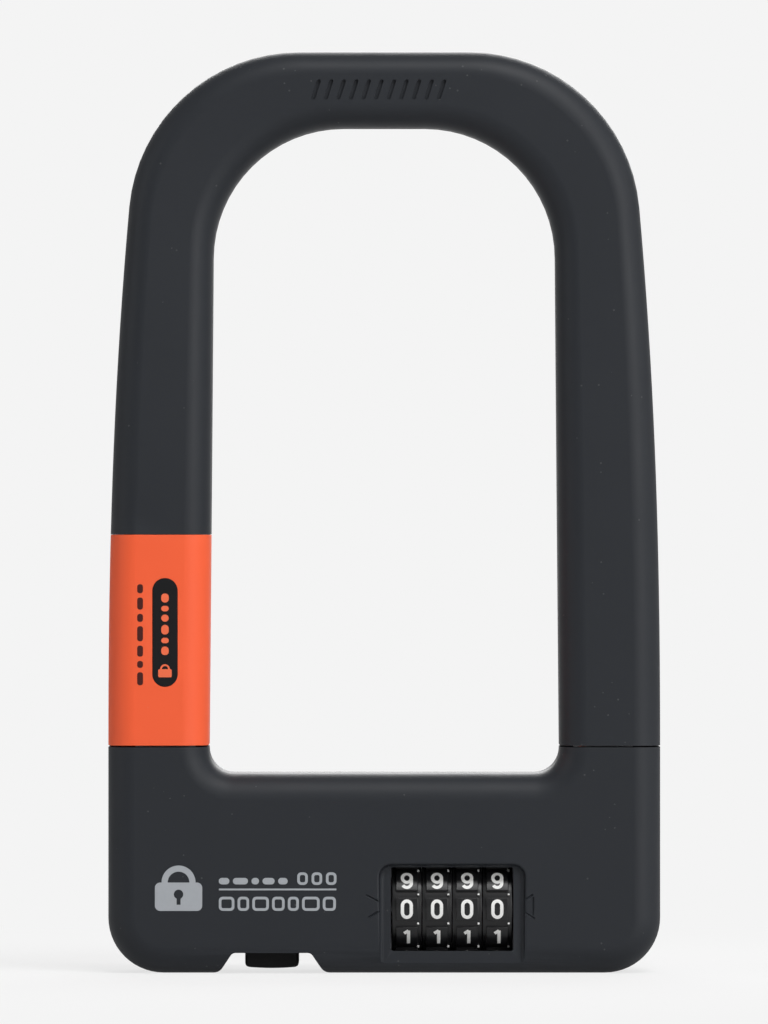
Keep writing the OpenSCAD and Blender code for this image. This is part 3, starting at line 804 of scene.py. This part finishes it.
def bowRings():
    pairs = bowSides()
    pairs += [((-i[0], i[1]), (-o[0], o[1])) for i, o in reversed(pairs)]
    rings = []
    for inner, outer in pairs:
        inner, outer = Vector((inner[0], 0, inner[1])), Vector((outer[0], 0, outer[1]))
        mid, span = (inner + outer) / 2, (outer - inner).length
        across = (outer - inner) / span
        rings.append([mid + across * a - Vector((0, b, 0)) for a, b in roundSection(
            span / 2, coverDepth(mid.z) / 2, bowShape["rollR"], bowShape["rollSteps"])])
    return rings


def barRings(radius, footZ):
    # the steel bar's path, as rings of a circle
    topMid = topZ - bowShape["topW"] / 2
    bend = (bowShape["innerR"] + bowShape["outerR"]) / 2
    path = [((legX, footZ), 0.0)]
    for i in range(bowShape["barSteps"] + 1):
        a = math.pi / 2 * i / bowShape["barSteps"]
        path.append(((legX - bend + bend * math.cos(a), topMid - bend + bend * math.sin(a)), a))
    path += [((-p[0], p[1]), math.pi - a) for p, a in reversed(path)]
    rings = []
    for (x, z), a in path:
        across = Vector((math.cos(a), 0, math.sin(a)))
        turns = [2 * math.pi * k / bowShape["barSides"] for k in range(bowShape["barSides"])]
        rings.append([Vector((x, 0, z)) + across * radius * math.cos(t)
                      - Vector((0, radius * math.sin(t), 0)) for t in turns])
    return rings


def topMarks():
    # a row of slanted slots pressed into the top of the bow
    m = markShape
    marks = []
    for i in range(m["count"]):
        x = m["middleX"] + (i - (m["count"] - 1) / 2) * m["pitch"]
        mark = addBlock("mark", (x - m["halfW"], frontY, -m["halfH"]),
                        (x + m["halfW"], m["floorY"], m["halfH"]))
        bevelWhere(mark, m["endR"], 4, alongY)
        for v in mark.data.vertices:
            v.co.x += v.co.z * m["slant"]
            v.co.z += topZ - bowShape["topW"] / 2 - m["drop"]
        marks.append(mark)
    return joinAll(marks, "topMarks")


def makeShackleSkins():
    # the charcoal bow and the orange band are one swept shape, parted above the band
    s = bowShape
    whole = sweepRings("shackleSkin", bowRings())
    cut(whole, sweepRings("barCutter", barRings(barR + s["fit"], coreLow.z)))
    band = copyOf(whole, "orangeBand")
    sliceOff(band, bandHigh.z, True)
    cut(band, addBlock("rightSide", (0, frontY * 2, 0), (halfW * 2, backY * 2, topZ)))
    lower = addBlock("bandCutter", (-halfW * 2, frontY * 2, 0), (0, backY * 2, bandHigh.z + s["fit"]))
    cut(whole, lower)
    cut(whole, topMarks())
    softenEdges(whole, s["edge"], 3, 40)
    softenEdges(band, s["edge"], 3, 40)
    finishShading(whole, 40)
    place(whole, "shackle", "charcoal_silicone", charcoal, ["shackle_cover"])
    return band


band = makeShackleSkins()
print("shackle skin ready")


badgeLow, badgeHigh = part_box("sleeve_badge")
badgeX, badgeZ = (badgeLow.x + badgeHigh.x) / 2, (badgeLow.z + badgeHigh.z) / 2


def addPlate(name, x, z, width, height, cornerR, y0, y1, segments=6):
    # a flat plate facing the front, with round corners
    plate = addBlock(name, (x - width / 2, y0, z - height / 2), (x + width / 2, y1, z + height / 2))
    most = min(width, height) / 2 - 0.001 * mm
    bevelWhere(plate, min(cornerR, most), segments, alongY)
    return plate


def padlockSign(x, z, width, y0, y1, keyhole=False):
    # a plain padlock in flat shapes, z at the middle of its body
    u = width / 10
    through = lambda name, low, high: addBlock(name, (low[0], cutFrom, low[1]), (high[0], 0, high[1]))
    body = addPlate("padlock", x, z, width, 6 * u, 1.1 * u, y0, y1)
    if keyhole:
        cut(body, addRod("keyRound", u, (x, cutFrom, z + 0.5 * u), (x, 0, z + 0.5 * u), 40))
        cut(body, through("keySlot", (x - 0.42 * u, z - 1.7 * u), (x + 0.42 * u, z + 0.4 * u)))
    arch = addRod("padlockArch", 3.6 * u, (x, y0, z + 3 * u), (x, y1, z + 3 * u), 64)
    cut(arch, addRod("archHole", 2.3 * u, (x, cutFrom, z + 3 * u), (x, 0, z + 3 * u), 64))
    cut(arch, through("archFoot", (x - width, z - width), (x + width, z + 2.95 * u)))
    cut(body, arch, "UNION")
    return body


inkFront, inkBack, cutFrom = frontY - 0.03 * mm, frontY + 0.1 * mm, -20 * mm
badgeShape = {
    "grow": 0.08 * mm, "edge": 0.12 * mm, "signW": 2.7 * mm, "signUp": 2.7 * mm, "dashUp": 6.3 * mm,
    "dashW": 1.5 * mm, "dashR": 0.7 * mm, "gap": 0.65, "lengths": (1.7, 1.1, 1.9, 1.4, 1.1, 1.8)}
sideDashes = {
    "offX": -4.95 * mm, "up": 0.3 * mm, "wide": 1.15 * mm, "cornerR": 0.5 * mm, "gap": 0.85,
    "lengths": (2.6, 1.4, 2.2, 3.0, 1.6, 2.4, 1.8)}


def dashColumn(x, z, width, cornerR, lengths, gap):
    # dashes one above the other, lengths and gap in millimetres
    parts = []
    for length in lengths:
        middle = z + length * mm / 2
        parts.append(addPlate("dash", x, middle, width, length * mm, cornerR, inkFront, inkBack))
        z += (length + gap) * mm
    return parts


def makeBadge():
    b, d = badgeShape, sideDashes
    width, height = badgeHigh.x - badgeLow.x, badgeHigh.z - badgeLow.z
    pocket = addPlate("badgePocket", badgeX, badgeZ, width + b["grow"], height + b["grow"], width,
                      frontY - mm, badgeHigh.y, 16)
    cut(band, pocket)
    finishShading(band, 40)
    place(band, "shackle", "orange_silicone", orange, ["accent_sleeve"])
    badge = addPlate("bandInlay", badgeX, badgeZ, width, height, width, badgeLow.y, badgeHigh.y, 16)
    softenEdges(badge, b["edge"], 3, 40)
    finishShading(badge)
    place(badge, "shackle", "black_plastic", blackInk, ["sleeve_badge"])

    # padlock sign and a row of dashes on the inlay
    parts = [padlockSign(badgeX, badgeLow.z + b["signUp"], b["signW"], inkFront, inkBack)]
    parts += dashColumn(badgeX, badgeLow.z + b["dashUp"], b["dashW"], b["dashR"], b["lengths"], b["gap"])
    signs = joinAll(parts, "inlaySigns")
    place(signs, "shackle", "orange_silicone", orangeInk)

    # row of small dashes beside the inlay
    parts = dashColumn(badgeX + d["offX"], badgeLow.z + d["up"], d["wide"], d["cornerR"], d["lengths"],
                       d["gap"])
    dashes = joinAll(parts, "bandDashes")
    place(dashes, "shackle", "black_plastic", darkInk)


makeBadge()


printShape = {
    "signX": -40.9 * mm, "signZ": 15.3 * mm, "signW": 9.4 * mm, "left": -32.9 * mm, "right": -9.5 * mm,
    "line": 0.52 * mm, "dashR": 0.8 * mm, "holeR": 0.35 * mm, "ruleZ": 16.75 * mm, "ruleH": 0.35 * mm,
    "ruleR": 0.15 * mm,
    "rows": [
        {"z": 18.4, "high": 1.3, "start": -32.9, "gap": 0.7, "hollow": False,
         "lengths": (2.1, 3.0, 1.5, 2.4, 1.9)},
        {"z": 18.9, "high": 2.5, "start": -17.3, "gap": 0.75, "hollow": True, "lengths": (2.1, 2.1, 2.1)},
        {"z": 13.9, "high": 2.8, "start": -32.9, "gap": 0.63, "hollow": True,
         "lengths": (3.1, 2.3, 3.3, 2.5, 2.2, 3.5, 2.6)}]}


def makeBodyPrint():
    # silver print at the lower left: a padlock sign, a rule and rows of dashes
    s = printShape
    parts = [padlockSign(s["signX"], s["signZ"], s["signW"], inkFront, inkBack, True)]
    for row in s["rows"]:
        x, z, high = row["start"] * mm, row["z"] * mm, row["high"] * mm
        for length in row["lengths"]:
            middle, wide = x + length * mm / 2, length * mm
            dash = addPlate("printDash", middle, z, wide, high, s["dashR"], inkFront, inkBack)
            if row["hollow"]:
                cut(dash, addPlate("dashHole", middle, z, wide - 2 * s["line"], high - 2 * s["line"],
                                   s["holeR"], cutFrom, 0))
            parts.append(dash)
            x += (length + row["gap"]) * mm
    parts.append(addPlate("printRule", (s["left"] + s["right"]) / 2, s["ruleZ"], s["right"] - s["left"],
                          s["ruleH"], s["ruleR"], inkFront, inkBack))
    marks = joinAll(parts, "bodyPrint")
    place(marks, "housing", "charcoal_silicone", silverInk)


makeBodyPrint()
print("inlay and print ready")


digitTurn = 36  # degrees from one of the ten digits to the next
dialShape = {"steps": 16, "padSteps": 12, "padHalf": 2.15 * mm, "padRise": 0.5 * mm, "extraW": 0.24 * mm,
             "digitHalfW": 0.88 * mm, "digitHalfH": 1.62 * mm, "stroke": 0.66 * mm, "digitRise": 0.03 * mm,
             "digitSink": 0.12 * mm, "strips": 17, "nib": 0.15 * mm, "nibR": 0.08 * mm, "nibIn": 0.1 * mm,
             "nibOut": 0.3 * mm, "nibDrop": 0.05 * mm, "boreR": 5.25 * mm, "edge": 0.22 * mm}


def frontAngle(point, middle):
    # degrees up from the front, seen along the dial's axis
    return math.degrees(math.atan2(point.z - middle.z, middle.y - point.y)) % 360


def makeDial(name, middle):
    s = dialShape
    drumR = dialR - s["padRise"]
    half = Vector(((dialW + s["extraW"]) / 2, 0, 0))
    dial = addRod(name, drumR, middle - half, middle + half, 10 * s["steps"])
    pick(dial)
    bpy.ops.object.mode_set(mode="EDIT")
    for x in (-s["padHalf"], s["padHalf"]):
        bpy.ops.mesh.select_all(action="SELECT")
        bpy.ops.mesh.bisect(plane_co=(middle.x + x, 0, 0), plane_no=(1, 0, 0))
    bpy.ops.mesh.select_mode(type="FACE")
    bpy.ops.mesh.select_all(action="DESELECT")
    shape = bmesh.from_edit_mesh(dial.data)
    groove = digitTurn * (1 - s["padSteps"] / s["steps"]) / 2
    for face in shape.faces:
        where = face.calc_center_median()
        fromPad = (frontAngle(where, middle) + digitTurn / 2) % digitTurn
        onRim = abs(face.normal.x) < 0.1 and abs(where.x - middle.x) < s["padHalf"] * 0.98
        face.select_set(onRim and groove < fromPad < digitTurn - groove)
    bmesh.update_edit_mesh(dial.data)
    bpy.ops.mesh.extrude_region_shrink_fatten(TRANSFORM_OT_shrink_fatten={"value": s["padRise"]})
    bpy.ops.object.mode_set(mode="OBJECT")
    cut(dial, addRod("dialBore", s["boreR"], middle - half * 2, middle + half * 2, 64))
    softenEdges(dial, s["edge"], 3, 30)
    # each nib is a small rib at a pad's right edge; it is coloured white with the digits as a painted glint
    glintNibs = []
    for k in range(10):
        a = math.radians(digitTurn * (k + 0.5))
        nib = addBlock("nib", (middle.x + s["padHalf"] - s["nibIn"], -s["nib"], drumR - s["nib"]),
                       (middle.x + s["padHalf"] + s["nibOut"], s["nib"], dialR - s["nibDrop"]))
        bevelWhere(nib, s["nibR"], 2, lambda mid, way: mid.z > drumR)
        for v in nib.data.vertices:
            across, r = v.co.y, v.co.z
            v.co.y = middle.y - r * math.cos(a) + across * math.sin(a)
            v.co.z = middle.z + r * math.sin(a) + across * math.cos(a)
        glintNibs.append(nib)
    finishShading(dial, 30)
    return dial, glintNibs


def arcPoints(cx, cz, rx, rz, start, end, count=14):
    turns = [math.radians(start + (end - start) * i / count) for i in range(count + 1)]
    return [(cx + rx * math.cos(a), cz + rz * math.sin(a)) for a in turns]


def ringPoints(cz, rx, rz):
    # a closed ring as two strokes that lap over each other
    return [arcPoints(0, cz, rx, rz, -5, 185, 20), arcPoints(0, cz, rx, rz, 175, 365, 20)]


def digitStrokes(number):
    # centre lines in units of the digit's half width and half height
    hook = [(1, 0.35)] + arcPoints(0, -0.42, 1, 0.58, 0, -150)
    nine = ringPoints(0.36, 1, 0.64) + [hook]
    return {
        0: [arcPoints(0, 0.42, 1, 0.58, 0, 180) + arcPoints(0, -0.42, 1, 0.58, 180, 270),
            arcPoints(0, -0.42, 1, 0.58, 265, 360) + [(1, 0.45)]],
        1: [[(0.38, -1), (0.38, 1)], [(0.38, 0.98), (-0.62, 0.6)]],
        2: [arcPoints(0, 0.46, 1, 0.54, 165, -28) + [(-0.98, -0.98)], [(-1.15, -1), (1.1, -1)]],
        3: [arcPoints(-0.05, 0.5, 0.92, 0.5, 150, -90), arcPoints(-0.05, -0.5, 1, 0.5, 90, -150)],
        4: [[(0.3, 1), (-1, -0.35)], [(-1.1, -0.38), (1.1, -0.38)], [(0.42, 1), (0.42, -1.1)]],
        5: [[(0.95, 1), (-0.85, 1)], [(-0.78, 1.1), (-0.86, 0.1)],
            arcPoints(-0.05, -0.36, 1, 0.64, 135, -150)],
        6: [[(-x, -z) for x, z in stroke] for stroke in nine],
        7: [[(-1.05, 1), (1.05, 1)], [(0.95, 1), (-0.25, -1.1)]],
        8: ringPoints(0.52, 0.86, 0.48) + ringPoints(-0.46, 1, 0.54),
        9: nine}[number]


def makeDigit(number):
    # one upright digit about the origin, cut into thin strips so that it can follow the wheel
    s = dialShape
    strokes = []
    for points in digitStrokes(number):
        line = [Vector((x * s["digitHalfW"], 0, z * s["digitHalfH"])) for x, z in points]
        strokes.append(barAlong("stroke", line, s["stroke"], -s["digitRise"], s["digitSink"]))
    digit = strokes[0]
    for stroke in strokes[1:]:
        cut(digit, stroke, "UNION")
    digit.name = "digit%d" % number
    pick(digit)
    bpy.ops.object.mode_set(mode="EDIT")
    reach = s["digitHalfH"] + s["stroke"]
    for k in range(1, s["strips"]):
        bpy.ops.mesh.select_all(action="SELECT")
        bpy.ops.mesh.bisect(plane_co=(0, 0, reach * (2 * k / s["strips"] - 1)), plane_no=(0, 0, 1))
    bpy.ops.object.mode_set(mode="OBJECT")
    return digit


def wrapDigit(digit, name, middle, angle):
    # lays a copy of the digit on the wheel's pad at that angle
    piece = copyOf(digit, name)
    for v in piece.data.vertices:
        a, r = math.radians(angle) + v.co.z / dialR, dialR - v.co.y
        v.co = Vector((middle.x + v.co.x, middle.y - r * math.cos(a), middle.z + r * math.sin(a)))
    return piece


digits = [makeDigit(n) for n in range(10)]
for i, middle in enumerate(dialSpots):
    body = ("dial_one", "dial_two", "dial_three", "dial_four")[i]
    dial, glintNibs = makeDial("numberDial%d" % (i + 1), middle)
    place(dial, body, "dial_black", dialBlack, ["dial_%d" % (i + 1)])
    figures = [wrapDigit(d, "figure", middle, -digitTurn * n) for n, d in enumerate(digits)]
    # the nibs join the digits and take their white, which paints a glint on each nib
    figures = joinAll(figures + glintNibs, "dialDigitsAndGlints%d" % (i + 1))
    finishShading(figures)
    place(figures, body, "dial_black", digitWhite)
for digit in digits:
    bpy.data.objects.remove(digit)
print("dials ready")


def makeLiner():
    w = windowShape
    behindLip = Vector((0, frontY + bodyShape["scoopDepth"] + w["lip"] - cageLow.y, 0))
    liner = addBlock("windowLiner", cageLow + behindLip, cageHigh)
    bevelWhere(liner, w["linerR"], 5, alongY)
    hole = addBlock("linerHole", (cageLow.x + w["wall"], frontY * 2, cageLow.z + w["wall"]),
                    (cageHigh.x - w["wall"], 0, cageHigh.z - w["wall"]))
    bevelWhere(hole, w["holeR"], 4, alongY)
    cut(liner, hole)
    softenEdges(liner, w["edge"], 3, 40)
    finishShading(liner)
    # painted shade: the liner's near-black colour stands in for the shadow gap round the dials
    place(liner, "housing", "black_plastic", frameBlackPaintedShade, ["dial_cage"])


buttonShape = {"flangeH": 1.2 * mm, "lip": 0.8 * mm, "cornerR": 0.6 * mm, "footTurn": 0.9 * mm,
               "bulge": 0.28 * mm, "flangeR": 1.6 * mm, "edge": 0.12 * mm}


def makeButton():
    s = buttonShape
    low = Vector((buttonLow.x + s["lip"], buttonLow.y + s["lip"], buttonLow.z))
    high = Vector((buttonHigh.x - s["lip"], buttonHigh.y - s["lip"], buttonHigh.z - s["flangeH"]))
    halfWide, foot = high.x - buttonX, s["bulge"] + low.z
    belly = [(t * halfWide, low.z + s["bulge"] * t * t) for t in (-0.75, -0.5, -0.25, 0, 0.25, 0.5, 0.75)]
    outline = [Vector((-halfWide, high.z))]
    outline += softCorner((-halfWide, high.z), (-halfWide, foot), belly[0], s["footTurn"])
    outline += [Vector(p) for p in belly]
    outline += softCorner(belly[-1], (halfWide, foot), (halfWide, high.z), s["footTurn"])
    outline.append(Vector((halfWide, high.z)))
    faces = [[Vector((buttonX + p.x, y, p.y)) for p in outline] for y in (low.y, high.y)]
    button = sweepRings("pushButton", faces)
    onFace = lambda mid: at(mid.y, low.y) or at(mid.y, high.y)
    bevelWhere(button, s["cornerR"], 6, lambda mid, way: onFace(mid) and not at(mid.z, high.z))
    flange = addBlock("buttonFlange", (buttonLow.x, buttonLow.y, high.z), buttonHigh)
    bevelWhere(flange, s["flangeR"], 6, alongZ)
    button = joinAll([button, flange], "pushButton")
    softenEdges(button, s["edge"], 2, 50)
    finishShading(button)
    place(button, "button", "dial_black", buttonBlack, ["push_button"])


makeLiner()
makeButton()
print("window liner and button ready")

finishes = {
    "case_front": castMetal, "back_plate": plateSteel, "case_screws": drawnSteel, "leg_bushes": bushGrey,
    "detent_spring": springSteel, "detent_rivets": drawnSteel, "spring_post": drawnSteel,
    "shackle_core": drawnSteel, "bolt_right": drawnSteel, "bolt_left": drawnSteel, "link_arm": plateSteel,
    "link_rivet": drawnSteel, "spindle": drawnSteel, "spindle_clips": springSteel,
    "spindle_spring": springSteel, "left_bolt_spring": springSteel, "button_spring": springSteel,
    "button_yoke": plateSteel, "sleeve_1": sleeveBrass, "sleeve_2": sleeveBrass, "sleeve_3": sleeveBrass,
    "sleeve_4": sleeveBrass}
for name, material in finishes.items():
    nodes[name].data.materials.clear()
    nodes[name].data.materials.append(material)
print("carried-over parts finished")

deselectAll()
